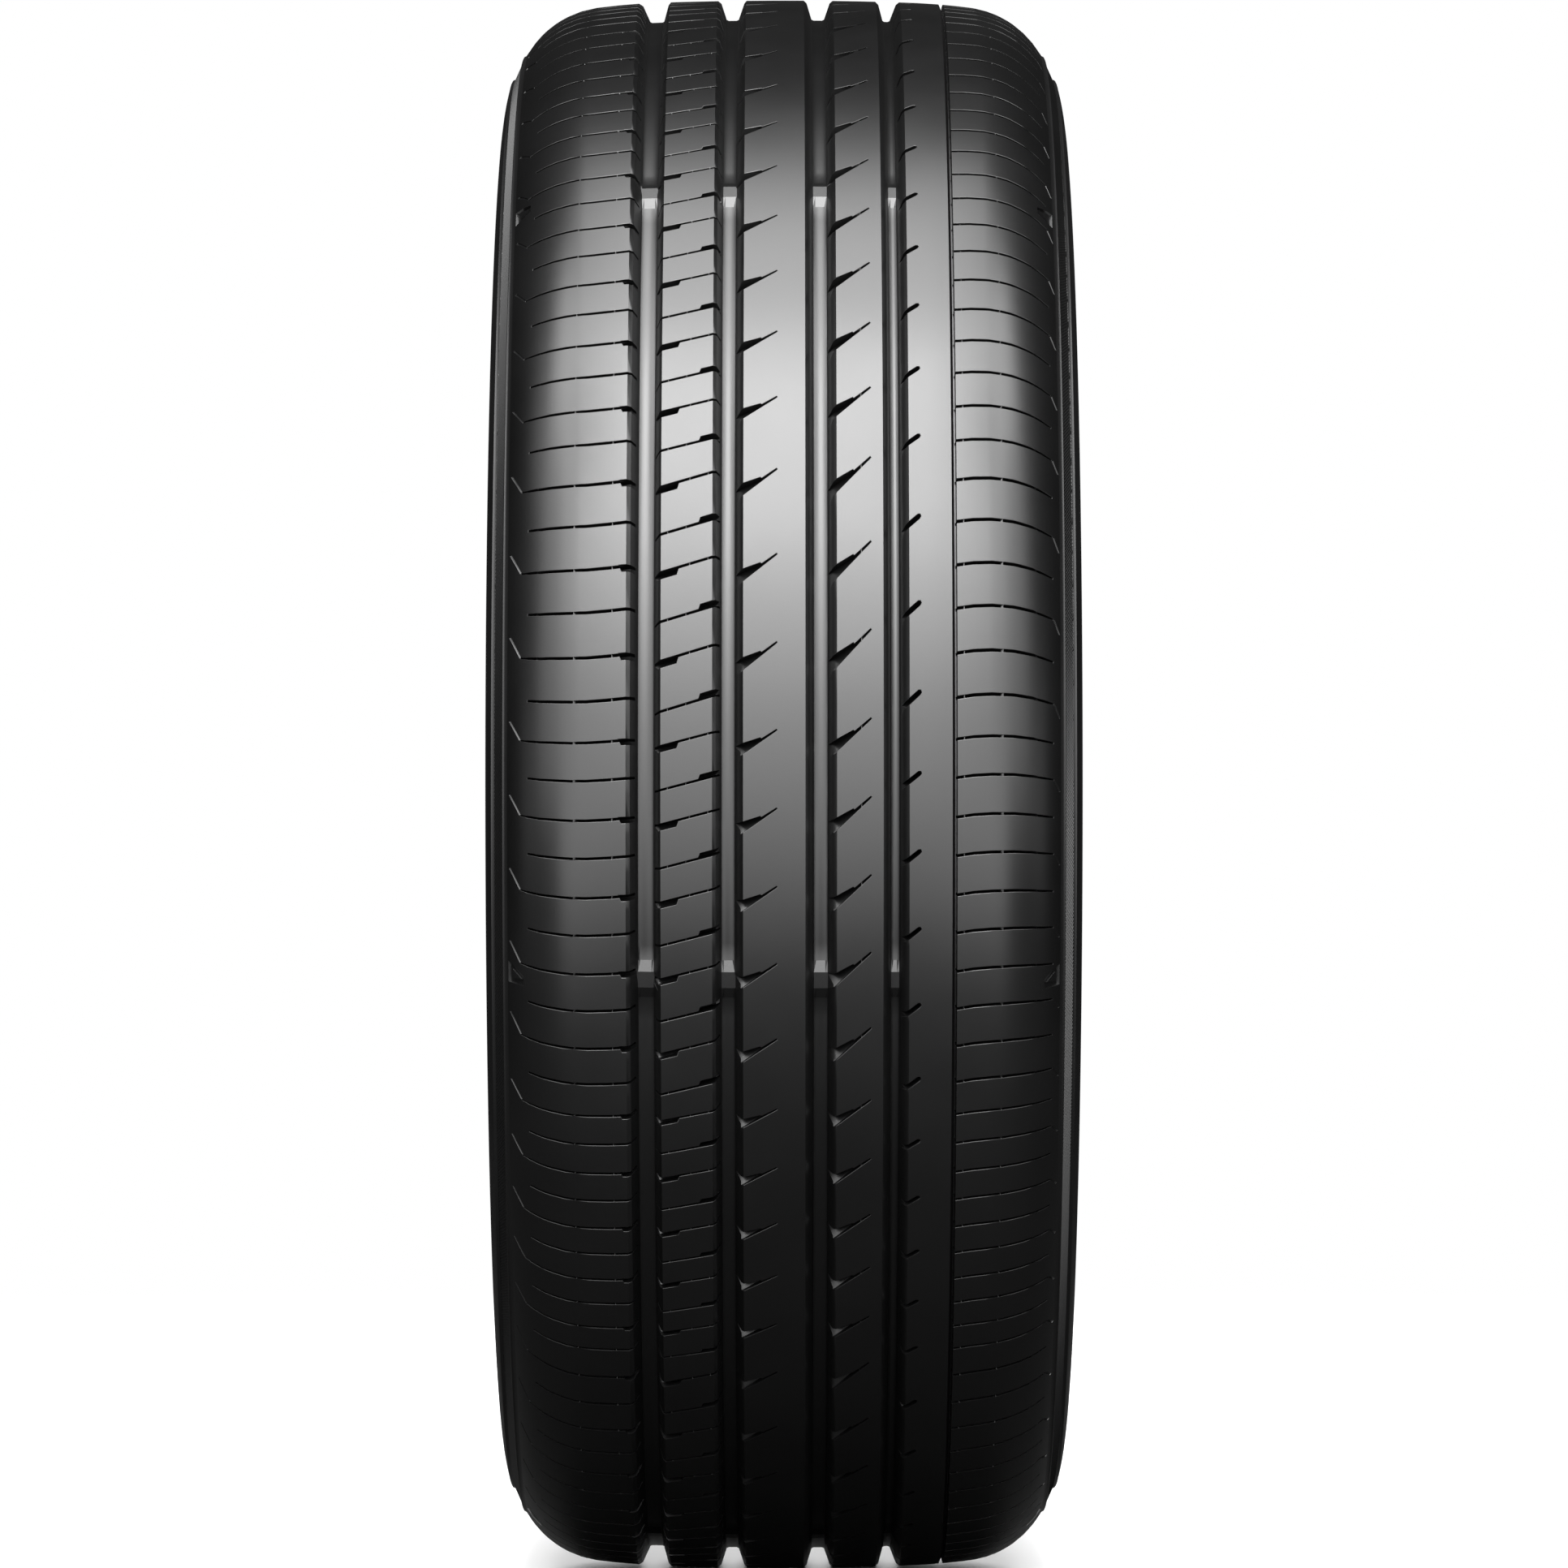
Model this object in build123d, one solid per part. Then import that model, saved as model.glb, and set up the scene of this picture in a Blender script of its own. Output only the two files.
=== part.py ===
"""Car tyre, 225/45 R17, moulded as one piece.

The axle runs along Y, +Z is up, and the origin is the wheel's centre. A place on the tyre is given by
its distance across the tread (along Y), its radius, and its angle round the axle, which starts at +X
and grows towards +Z. All lengths are millimetres and all angles are degrees.

The carcass, with its sidewalls and beads, is turned from one section. The tread is laid out as a tyre
designer does it, in straight pitch blocks of three lengths that follow each other round the carcass.
"""
from build123d import *
from math import asin, cos, degrees, radians, sin, sqrt, tan
from typing import NamedTuple
import os

# Overall size
overall_diameter = 634.3
section_width = 223.6
widest_drop = 49.5

# Crown and shoulders; the shoulder's arc is stepped into chords
crown_arc_radius = 1100.0
crown_half_width = 72.2
shoulder_radius = 38.0
shoulder_end_slope = 58.0
shoulder_chords = 2

# Sidewalls; a flat parting ring lies between each of them and the tread's edge
parting_overhang = 2.3
parting_height = 2.8
parting_lap = 1.4
buttress_drop = 33.0
buttress_half_width = 109.0

# Beads, which grip a rim 7.5 inches wide
bead_seat_diameter = 436.6
bead_seat_width = 15.0
bead_width = 190.5
bead_face_height = 16.0
bead_heel_inset = 3.0

# Wall thickness
tread_base = 7.0
sidewall_thickness = 8.0
inner_crown_inset = 21.9

# How the tread's foot is sunk into the carcass, measured in from the shoulder's end
carcass_cover = 3.5
carcass_crown_inset = 10.9
carcass_edge_inset = 4.4
foot_cover = 1.75
foot_inset = 5.9

# Circumferential grooves
groove_depth = 8.0


class Groove(NamedTuple):
    """A groove that runs right round the tread."""

    centre: float
    mouth_width: float
    floor_width: float


grooves = (
    Groove(centre=-51.9, mouth_width=12.0, floor_width=5.7),
    Groove(centre=-20.8, mouth_width=10.6, floor_width=5.1),
    Groove(centre=13.7, mouth_width=10.8, floor_width=5.2),
    Groove(centre=41.5, mouth_width=8.6, floor_width=3.1),
)


class Notch(NamedTuple):
    """A tapered notch that opens into a groove, once in every pitch.

    It starts at the edge of a rib, on one side of its groove, and rises along the tread towards +Y.
    Its place is a share of the pitch, above the block's middle.
    """

    groove: int
    side: int
    mouth: float
    reach: float
    rise: float
    depth: float
    place: float


notches = (
    Notch(groove=0, side=1, mouth=2.9, reach=9.0, rise=14.8, depth=4.5, place=0.02),
    Notch(groove=1, side=-1, mouth=2.6, reach=7.5, rise=14.8, depth=4.5, place=-0.31),
    Notch(groove=1, side=1, mouth=4.6, reach=12.0, rise=33.0, depth=4.5, place=0.02),
    Notch(groove=2, side=1, mouth=5.0, reach=12.5, rise=41.0, depth=4.5, place=0.08),
    Notch(groove=3, side=1, mouth=2.4, reach=7.0, rise=38.0, depth=4.5, place=-0.39),
)

# Tread-wear bars, raised from the floor of every groove
wear_bars_round = 6
wear_bar_height = 1.6
wear_bar_top_length = 7.0
wear_bar_foot_length = 13.0
wear_bar_first_angle = 46.5

# The pitches' lengths, and the order that spreads their noise, downwards from the front of the tyre
pitch_ratio = {"short": 0.84, "medium": 1.0, "long": 1.16}
pitch_order = [
    {"s": "short", "m": "medium", "l": "long"}[letter]
    for letter in "mmmmmlllmmmmmsssss" "llllmmsss" "lllmmmssss" "llllmmsss" "lllmmssss" "lllmmmssss" "llmm"
]
pattern_start_angle = 49.2

# How far a tool runs past the surface that it opens, and how far its tip stays above the tread
overrun = 2.0
tip_lift = 0.3

overall_radius = overall_diameter / 2
bead_seat_radius = bead_seat_diameter / 2
inner_crown_radius = overall_radius - groove_depth - tread_base
widest_radius = overall_radius - widest_drop
medium_pitch_angle = 360 / sum(pitch_ratio[name] for name in pitch_order)


def crown_radius_at(across):
    """The tread's radius at a distance across it."""
    return overall_radius - crown_arc_radius + sqrt(crown_arc_radius**2 - across**2)


def shoulder_points():
    """Where the shoulder's chords meet, from the crown's edge to the foot of the tread."""
    start_slope = degrees(asin(crown_half_width / crown_arc_radius))
    start = crown_radius_at(crown_half_width)
    points = []
    for step in range(shoulder_chords + 1):
        slope = start_slope + (shoulder_end_slope - start_slope) * step / shoulder_chords
        across = crown_half_width + shoulder_radius * (sin(radians(slope)) - sin(radians(start_slope)))
        drop = shoulder_radius * (cos(radians(start_slope)) - cos(radians(slope)))
        points.append((across, start - drop))
    return points


def groove_points(groove):
    """A groove's two edges and the two ends of its floor, from left to right."""
    floor = crown_radius_at(groove.centre) - groove_depth
    left = groove.centre - groove.mouth_width / 2
    right = groove.centre + groove.mouth_width / 2
    return [
        (left, crown_radius_at(left)),
        (groove.centre - groove.floor_width / 2, floor),
        (groove.centre + groove.floor_width / 2, floor),
        (right, crown_radius_at(right)),
    ]


def mirrored(points):
    """The other side's points, in the order that continues an outline."""
    return [(-across, radius) for across, radius in reversed(points)]


def parting_ring():
    """The parting ring's distance across the tread and its outer and inner radius."""
    shoulder_half_width, shoulder_foot = shoulder_points()[-1]
    outer = shoulder_foot - parting_overhang * tan(radians(shoulder_end_slope))
    return shoulder_half_width + parting_overhang, outer, outer - parting_height


def carcass():
    """Sidewalls, beads and the ring under the tread, turned from one section."""
    shoulder_half_width = shoulder_points()[-1][0]
    parting_half_width, _, parting_radius = parting_ring()
    heel = bead_width / 2 - bead_heel_inset
    side = [
        (shoulder_half_width - carcass_crown_inset, inner_crown_radius + carcass_cover),
        (shoulder_half_width - carcass_edge_inset, parting_radius + parting_lap),
        (parting_half_width, parting_radius + parting_lap),
        (parting_half_width, parting_radius),
        (buttress_half_width, overall_radius - buttress_drop),
        (section_width / 2, widest_radius),
        (bead_width / 2, bead_seat_radius + bead_face_height),
        (heel, bead_seat_radius),
        (heel - bead_seat_width, bead_seat_radius),
        (section_width / 2 - sidewall_thickness, widest_radius),
        (shoulder_half_width - inner_crown_inset, inner_crown_radius),
    ]
    section = Plane.YZ * make_face(Polyline(*side, *mirrored(side), close=True))
    return revolve(section, Axis.Y)


def tread_outline():
    """The tread's section, down to a foot that is buried in the carcass."""
    shoulder = shoulder_points()
    shoulder_half_width = shoulder[-1][0]
    parting_half_width, edge_radius, parting_radius = parting_ring()
    buried = parting_radius + parting_lap / 2
    side = shoulder + [
        (parting_half_width, edge_radius),
        (parting_half_width, buried),
        (shoulder_half_width - foot_inset, buried),
        (shoulder_half_width - inner_crown_inset, inner_crown_radius + foot_cover),
    ]
    tread = [point for groove in grooves for point in groove_points(groove)]
    return tread + side + mirrored(side)


def notch_tool(notch, pitch, flat):
    """The V-shaped tool that cuts one notch into a pitch block.

    pitch is the pitch's ratio, which stretches the notch along the tread. flat is the ratio by which
    the middle of a straight block lies nearer to the axle than its ends.
    """
    groove = grooves[notch.groove]
    edge = groove.centre + notch.side * groove.mouth_width / 2
    end = edge + notch.side * notch.reach
    middle = notch.place * pitch * radians(medium_pitch_angle) * overall_radius
    climb = notch.side * notch.reach * tan(radians(notch.rise)) * pitch
    tip = Vector(crown_radius_at(end) * flat + tip_lift, end, middle + climb)
    top = crown_radius_at(edge) * flat
    past_edge = 1 + (groove.mouth_width - groove.floor_width) / 2 / notch.reach
    root = tip + (Vector(top - notch.depth, edge, middle) - tip) * past_edge
    lips = []
    for half in (-notch.mouth / 2, notch.mouth / 2):
        lip = tip + (Vector(top, edge, middle + half * pitch) - tip) * past_edge
        lips.append(root + (lip - root) * (1 + overrun / notch.depth))
    corners = [(tip, lips[0], root), (tip, root, lips[1]), (tip, *lips[::-1]), (*lips, root)]
    return Solid(Shell([Face(Wire.make_polygon(corner, close=True)) for corner in corners]))


def pitch_block(name):
    """The outer faces of one pitch of the tread, with its notches, about angle zero."""
    half_angle = radians(medium_pitch_angle * pitch_ratio[name] / 2)
    flat = cos(half_angle)
    section = Plane.XY * make_face(Polyline(*[(r * flat, w) for w, r in tread_outline()], close=True))
    end = overall_radius + overrun
    wedge_side = Plane.XZ * make_face(Polyline(
        (0, 0), (end, -end * tan(half_angle)), (end, end * tan(half_angle)), close=True
    ))
    wedge = extrude(wedge_side, section_width, both=True)
    block = extrude(section, end * tan(half_angle), both=True) & wedge
    block -= [notch_tool(notch, pitch_ratio[name], flat) for notch in notches]
    return block.faces().filter_by(lambda face: abs(face.normal_at().Z) < flat - 1e-6)


def turned(shape, angle):
    """A shape that stands at angle zero, carried round the axle."""
    return Rot(Y=-angle) * shape


def tread():
    """The ring of pitch blocks, joined end to end."""
    blocks = {name: pitch_block(name) for name in pitch_ratio}
    faces = []
    angle = pattern_start_angle
    for name in pitch_order:
        span = medium_pitch_angle * pitch_ratio[name]
        faces += [turned(face, angle - span / 2) for face in blocks[name]]
        angle -= span
    return Solid(Shell(faces))


def wear_bar(groove):
    """One wear bar at angle zero; its ends are buried in the ribs beside the groove."""
    floor = crown_radius_at(groove.centre) - groove_depth
    steps = [
        (floor - overrun, -wear_bar_foot_length / 2),
        (floor, -wear_bar_foot_length / 2),
        (floor + wear_bar_height, -wear_bar_top_length / 2),
        (floor + wear_bar_height, wear_bar_top_length / 2),
        (floor, wear_bar_foot_length / 2),
        (floor - overrun, wear_bar_foot_length / 2),
    ]
    side = Plane.XZ * make_face(Polyline(*steps, close=True))
    return Pos(Y=groove.centre) * extrude(side, groove.mouth_width / 2, both=True)


def wear_bars():
    """The wear bars of every groove, evenly spaced round the tyre."""
    spacing = 360 / wear_bars_round
    angles = [wear_bar_first_angle + spacing * place for place in range(wear_bars_round)]
    return [turned(wear_bar(groove), angle) for groove in grooves for angle in angles]


tyre = carcass().fuse(tread(), *wear_bars())
os.makedirs("parts", exist_ok=True)
export_step(tyre, "parts/tyre.step")
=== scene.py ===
"""Studio scene of a car tyre that stands on its tread.

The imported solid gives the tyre's size and place. The visible tyre is one closed mesh: a tread that is
laid out in plan, cut with its grooves, sipes and notches and wrapped round the crown pitch by pitch,
and a ring of sidewalls, beads and inner liner that is turned about the axle. The axle runs along Y and
+Z is up. Sizes are in millimetres until a mesh is made, and angles are in degrees, from +X towards +Z.
"""

import logging
import math
from dataclasses import dataclass, field, replace
from enum import Enum
from typing import Sequence

import bmesh
import bpy
import numpy as np
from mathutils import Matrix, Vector
from mathutils.geometry import delaunay_2d_cdt


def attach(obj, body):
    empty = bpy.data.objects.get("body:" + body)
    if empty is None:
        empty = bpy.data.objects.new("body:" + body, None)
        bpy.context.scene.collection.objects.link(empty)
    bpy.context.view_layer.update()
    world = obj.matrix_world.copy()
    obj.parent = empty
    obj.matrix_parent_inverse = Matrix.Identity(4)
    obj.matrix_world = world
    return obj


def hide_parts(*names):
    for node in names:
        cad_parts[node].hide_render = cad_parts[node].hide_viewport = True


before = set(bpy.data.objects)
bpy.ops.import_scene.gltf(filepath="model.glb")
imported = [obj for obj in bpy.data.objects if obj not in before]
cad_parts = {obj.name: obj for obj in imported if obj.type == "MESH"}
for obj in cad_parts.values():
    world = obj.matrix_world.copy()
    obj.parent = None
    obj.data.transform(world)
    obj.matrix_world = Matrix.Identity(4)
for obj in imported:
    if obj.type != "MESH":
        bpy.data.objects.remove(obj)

MM = 0.001
TINY = 1e-9
BODY = "root"
NODE = "tyre"
CUT_LIP = 0.13
LIP_FALL = 0.66
SIPE_LEAN = 1.2
TIE_DEPTH = 0.12
BAR_MARGIN = 0.055
PLAN_TOLERANCE = 1e-4
TRIANGLES_INSIDE = 1
WHITE = (1.0, 1.0, 1.0, 1.0)

Point = tuple[float, float]
Points = tuple[Point, ...]
log = logging.getLogger("tyre")


class PitchSize(Enum):
    """The three lengths of pitch, as ratios of the medium one."""

    SHORT = 0.84
    MEDIUM = 1.0
    LONG = 1.16


class Zone(Enum):
    """The parts of the tyre's skin that differ in finish, by material slot."""

    TREAD = 0
    SIDEWALL = 1
    LINER = 2


@dataclass(frozen=True)
class CrownArc:
    """One arc of the tread's cross-section, and the surface's slope at its outer end."""

    radius: float
    end_slope: float


@dataclass(frozen=True)
class Crown:
    """The tread's cross-section, from the middle out to the foot of the shoulder."""

    top_radius: float = 317.15
    arcs: tuple[CrownArc, ...] = (CrownArc(1437.0, 2.03), CrownArc(257.0, 7.4), CrownArc(38.4, 58.2))

    @property
    def half_width(self) -> float:
        """The distance across the tread at the shoulder's foot.

        Returns:
            The arcs' widths together.
        """
        across, slope = 0.0, 0.0
        for arc in self.arcs:
            across += arc.radius * (math.sin(math.radians(arc.end_slope)) - math.sin(slope))
            slope = math.radians(arc.end_slope)
        return across

    def at(self, across: np.ndarray) -> tuple[np.ndarray, np.ndarray]:
        """Finds the surface at distances across the tread.

        Args:
            across: Signed distances from the middle of the tread.

        Returns:
            The radius and the signed slope, in radians, at each distance.
        """
        distance = np.abs(across)
        radius = np.full_like(distance, self.top_radius)
        slope = np.zeros_like(distance)
        start, start_slope, start_radius = 0.0, 0.0, self.top_radius
        for arc in self.arcs:
            end_slope = math.radians(arc.end_slope)
            sine = math.sin(start_slope) + (distance - start) / arc.radius
            here = distance >= start - TINY
            angle = np.arcsin(np.clip(sine, -1.0, math.sin(end_slope)))
            drop = arc.radius * (math.cos(start_slope) - np.cos(angle))
            radius = np.where(here, start_radius - drop, radius)
            slope = np.where(here, angle, slope)
            start += arc.radius * (math.sin(end_slope) - math.sin(start_slope))
            start_radius -= arc.radius * (math.cos(start_slope) - math.cos(end_slope))
            start_slope = end_slope
        return radius, slope * np.sign(across)


@dataclass(frozen=True)
class Groove:
    """A groove that runs right round the tread, with chamfered edges and a rounded floor.

    Args:
        edges: Where the two chamfers start on the ribs.
        tops: Where the two walls start, at the chamfers' foot.
        floor: Where the two walls would meet a flat floor.
        fillet: How far in from the walls the floor is flat, with a corner of the rounding between.
    """

    edges: Point
    tops: Point
    floor: Point
    depth: float = 8.0
    chamfer_depth: float = 1.1
    fillet: float = 0.95
    fillet_start: float = 0.12
    fillet_rise: float = 0.4

    def stations(self) -> list[Point]:
        """Lists the section's corners as (across, depth), from left to right.

        Returns:
            Four corners of the left wall and four of the right one.
        """
        left, right = (
            [
                (edge, 0.0),
                (top, self.chamfer_depth),
                (floor + self.fillet_start * inward, self.depth - self.fillet_rise),
                (floor + self.fillet * inward, self.depth),
            ]
            for edge, top, floor, inward in zip(self.edges, self.tops, self.floor, (1.0, -1.0))
        )
        return left + right[::-1]


@dataclass(frozen=True)
class Tie:
    """A low tie across a sipe, which holds its walls together.

    Args:
        across: Where the tie stands.
        half_length: Half of its length along the sipe, at its foot.
        depth: How far its top lies below the tread.
    """

    across: float
    half_length: float = 0.38
    depth: float = TIE_DEPTH


@dataclass(frozen=True)
class Cut:
    """A pocket in the tread with a closed outline, which may run out into a groove.

    Args:
        outline: Corners as (across, along), anticlockwise, along measured for a medium pitch.
        depth: The floor's depth below the tread at the outline's first corner.
        draft: How far the walls lean in from the top to the floor.
        lip: The width of the worn lip round the outline.
        ties: Ties across the pocket.
        tilt: How fast the floor falls away from that corner, across and along the tread.
        lean: How fast the floor of a sipe falls from its upper wall to its lower one.
    """

    outline: Points
    depth: float
    draft: float = 0.09
    lip: float = 0.0
    ties: tuple[Tie, ...] = ()
    tilt: Point = (0.0, 0.0)
    lean: float = 0.0

    @property
    def lip_depth(self) -> float:
        """How far the lip falls from the tread to the outline."""
        return LIP_FALL * self.lip

    def rings(self) -> list[list[Point]]:
        """Lists the pocket's closed breaklines: its lip, if it has one, its outline and its floor."""
        inner = [self.moved_in(0.0), self.moved_in(self.draft)]
        return [self.moved_in(-self.lip), *inner] if self.lip else inner

    def moved_in(self, distance: float) -> list[Point]:
        """Moves each side of the outline in by a distance and joins the sides again.

        Args:
            distance: How far in, or out where it is negative.

        Returns:
            The new corners.
        """
        corners = np.array(self.outline)
        ahead = np.roll(corners, -1, axis=0) - corners
        ahead /= np.linalg.norm(ahead, axis=1)[:, None]
        normals = np.stack([-ahead[:, 1], ahead[:, 0]], axis=1)
        before = np.roll(normals, 1, axis=0)
        mitres = (before + normals) / (1.0 + (before * normals).sum(axis=1))[:, None]
        return [tuple(corner) for corner in corners + mitres * distance]

    def tie_lines(self) -> list[list[Point]]:
        """Lists the lines, along the tread, on which the ties start, peak and end.

        Returns:
            The two ends of each line that crosses the pocket.
        """
        sides = list(zip(self.outline, self.outline[1:] + self.outline[:1]))
        places = [tie.across + part * tie.half_length for tie in self.ties for part in (-1.0, 0.0, 1.0)]
        lines = []
        for across in places:
            crossings = [
                start[1] + (across - start[0]) / (end[0] - start[0]) * (end[1] - start[1])
                for start, end in sides
                if (start[0] - across) * (end[0] - across) < 0.0
            ]
            if len(crossings) == 2:
                lines.append([(across, along) for along in sorted(crossings)])
        return lines

    def depth_at(self, points: np.ndarray) -> np.ndarray:
        """Measures how deep the pocket is below each point of the plan.

        Args:
            points: An array of (across, along) rows.

        Returns:
            The depth at each point, zero outside the outline and its lip.
        """
        corners = np.array(self.outline)
        ends = np.roll(corners, -1, axis=0)
        spans = ends - corners
        offsets = points[:, None] - corners
        share = np.clip((offsets * spans).sum(axis=2) / (spans * spans).sum(axis=1), 0.0, 1.0)
        distances = np.linalg.norm(offsets - share[:, :, None] * spans, axis=2)
        gaps = distances.min(axis=1)
        from_upper = distances[:, len(corners) // 2:-1].min(axis=1)
        level = (corners[:, 1] > points[:, 1:]) != (ends[:, 1] > points[:, 1:])
        rise = np.where(np.abs(spans[:, 1]) < TINY, TINY, spans[:, 1])
        crossing = corners[:, 0] + offsets[:, :, 1] * (spans[:, 0] / rise)
        inside = (level & (points[:, :1] < crossing)).sum(axis=1) % 2 == 1
        floor = self.depth + (points - corners[0]) @ np.array(self.tilt) + self.lean * from_upper
        for tie in self.ties:
            away = np.clip(np.abs(points[:, 0] - tie.across) / tie.half_length, 0.0, 1.0)
            floor = np.minimum(floor, tie.depth + (floor - tie.depth) * away)
        wall = self.lip_depth + (floor - self.lip_depth) * np.clip(gaps / self.draft, 0.0, 1.0)
        lip = self.lip_depth * np.clip(1.0 - gaps / max(self.lip, TINY), 0.0, 1.0)
        return np.where(inside, wall, lip)


@dataclass(frozen=True)
class Place:
    """Where a cut lies in the pitch.

    Args:
        phase: A share of the pitch, counted downwards.
        mouth: Where a sloped cut crosses its rib's edge.
        slope: The cut's slope through its mouth, in degrees.
    """

    phase: float = 0.0
    mouth: float = 0.0
    slope: float = 0.0

    def lay(self, points: Points, pitch_length: float) -> Points:
        """Lays plan points out at this place of a pitch.

        Args:
            points: Points as (across, along), along measured from the phase and from the slope.
            pitch_length: The length of a medium pitch.

        Returns:
            The points in the pitch's plan.
        """
        along, slope = -self.phase * pitch_length, math.tan(math.radians(self.slope))
        return tuple((across, along + here + slope * (across - self.mouth)) for across, here in points)


@dataclass(frozen=True)
class Notch:
    """A notch with a sloping floor, which opens into a groove.

    Args:
        outline: Corners as (across, along), anticlockwise, to be laid out at the place.
        depth: The floor's depth at the first corner.
        tilt: How fast the floor falls away from that corner, across and along the tread.
        place: The notch's place in the pitch.
        ties: Ties across the notch.
    """

    outline: Points
    depth: float
    tilt: Point
    place: Place = Place()
    ties: tuple[Tie, ...] = ()

    def cut(self, pitch_length: float) -> Cut:
        """Lays the notch out in a pitch of the given length."""
        outline = self.place.lay(self.outline, pitch_length)
        return Cut(outline, self.depth, lip=CUT_LIP, ties=self.ties, tilt=self.tilt)


@dataclass(frozen=True)
class Sipe:
    """A narrow cut along a path.

    Args:
        path: The middle line's points as (across, along), from left to right, to be laid out at the place.
        widths: The cut's width at each point.
        depth: The cut's depth.
        place: The cut's place in the pitch.
        ties: Where ties stand across the cut.
        lip: The width of the worn lip.
        tilt: How fast the floor falls away, across and along the tread.
        lean: How fast the floor falls from the upper wall to the lower one.
    """

    path: Points
    widths: tuple[float, ...]
    depth: float
    place: Place
    ties: tuple[float, ...] = ()
    lip: float = CUT_LIP
    tilt: Point = (0.0, 0.0)
    lean: float = SIPE_LEAN

    def cut(self, pitch_length: float) -> Cut:
        """Lays the sipe out in a pitch.

        Args:
            pitch_length: The length of a medium pitch.

        Returns:
            The cut, with its outline anticlockwise.
        """
        points = np.array(self.place.lay(self.path, pitch_length))
        directions = np.gradient(points, axis=0)
        directions /= np.linalg.norm(directions, axis=1)[:, None]
        normals = np.stack([-directions[:, 1], directions[:, 0]], axis=1)
        sideways = normals * np.array(self.widths)[:, None] / 2
        lower, upper = points - sideways, points + sideways
        outline = tuple(tuple(corner) for corner in np.concatenate([lower, upper[::-1]]))
        ties = tuple(Tie(across) for across in self.ties)
        return Cut(outline, self.depth, lip=self.lip, ties=ties, tilt=self.tilt, lean=self.lean)


def raised(points: Sequence[Point], along: float) -> Points:
    """Shifts plan points along the tread."""
    return tuple((across, here + along) for across, here in points)


def wrapped(angles: np.ndarray, across: np.ndarray, radius: np.ndarray) -> np.ndarray:
    """Turns angles, distances across the tyre and distances from the axle into rows of x, y and z."""
    turn = np.radians(angles)
    return np.stack([radius * np.cos(turn), across, radius * np.sin(turn)], axis=1)


def new_object(name: str, data: bpy.types.ID) -> bpy.types.Object:
    """Adds an object to the scene.

    Args:
        name: The object's name.
        data: Its mesh, light or camera.

    Returns:
        The new object.
    """
    made = bpy.data.objects.new(name, data)
    bpy.context.scene.collection.objects.link(made)
    return made


@dataclass(frozen=True)
class WearBars:
    """Low bars on the grooves' floors, evenly spaced round the tyre."""

    count: int = 6
    first_angle: float = 46.5
    height: float = 1.6
    top_length: float = 6.2
    foot_length: float = 14.6

    def angles(self) -> list[float]:
        """Lists the bars' angles round the axle."""
        return [self.first_angle + 360.0 * place / self.count for place in range(self.count)]


@dataclass(frozen=True)
class WearMark:
    """A shallow recess with a raised triangle, moulded into a shoulder's foot beside each wear bar.

    Args:
        side: 1 for the right shoulder, -1 for the left one.
        reach: The lowest and the highest place of a mark in its pitch, clear of the sipes.
        triangle_share: How much of the recess's depth the triangle fills.
    """

    side: float
    reach: Point
    recess: Points = ((96.5, 0.0), (96.5, -4.3), (102.3, -4.3), (102.3, 4.1))
    triangle: Points = ((96.9, -1.8), (100.7, -2.5), (100.8, 1.9))
    depth: float = 1.0
    triangle_share: float = 0.94
    draft: float = 0.22

    def cuts(self, along: float) -> tuple[Cut, Cut]:
        """Lays the mark out at a place along the tread.

        Args:
            along: The wear bar's place.

        Returns:
            The recess, and the triangle that is left standing in it.
        """
        place = min(max(along, self.reach[0]), self.reach[1])
        order = 1 if self.side > 0.0 else -1
        recess, triangle = (
            raised([(self.side * across, here) for across, here in corners[::order]], place)
            for corners in (self.recess, self.triangle)
        )
        height = self.triangle_share * self.depth
        return Cut(recess, self.depth, self.draft), Cut(triangle, height, self.draft)


LEFT_UPPER, RIGHT_UPPER, LOWER = Place(-0.12), Place(-0.125), Place(0.37)
LEFT_SLOPE, RIGHT_SLOPE = Place(0.0, mouth=-45.5, slope=14.8), Place(0.33, mouth=-26.5, slope=14.8)
LEFT_SIPE = Sipe(
    path=((-94.9, -0.15), (-90.0, -0.75), (-82.0, -1.2), (-73.0, -1.3), (-65.0, -0.85), (-55.2, 0.0)),
    widths=(0.75, 0.85, 0.95, 1.0, 1.05, 1.05),
    depth=6.0,
    place=LOWER,
    ties=(-91.5, -77.8, -63.6),
)
LONG_LEFT_SIPE = replace(
    LEFT_SIPE,
    path=((-97.5, 0.3), (-95.5, -0.05), *LEFT_SIPE.path),
    widths=(0.45, 0.5, *LEFT_SIPE.widths),
    place=LEFT_UPPER,
)
LEFT_LINE = Sipe(
    path=((-101.6, 8.3), (-97.6, 0.5)), widths=(0.6, 0.6), depth=0.06,
    place=LEFT_UPPER, lip=0.0, tilt=(0.62, 0.32), lean=0.0,
)
LEFT_NOTCH = Notch(
    outline=((-61.2, 0.2), (-60.0, -2.15), (-54.9, -1.95), (-54.9, 0.45)),
    depth=1.6, tilt=(0.0, -0.9), place=LEFT_UPPER,
)
RIGHT_SIPE = Sipe(
    path=((63.6, 0.0), (70.0, 0.9), (77.0, 1.3), (85.0, 1.2), (92.0, 0.6), (99.8, -0.7)),
    widths=(1.1, 1.1, 1.1, 1.05, 0.9, 0.6),
    depth=3.6,
    place=LOWER,
    ties=(66.6, 81.0, 93.6),
)
RIGHT_LINE = Sipe(
    path=((100.05, -0.85), (102.15, -5.4)), widths=(0.6, 0.6), depth=0.44,
    place=LOWER, lip=0.0, tilt=(-0.555, -0.256), lean=0.0,
)
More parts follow.
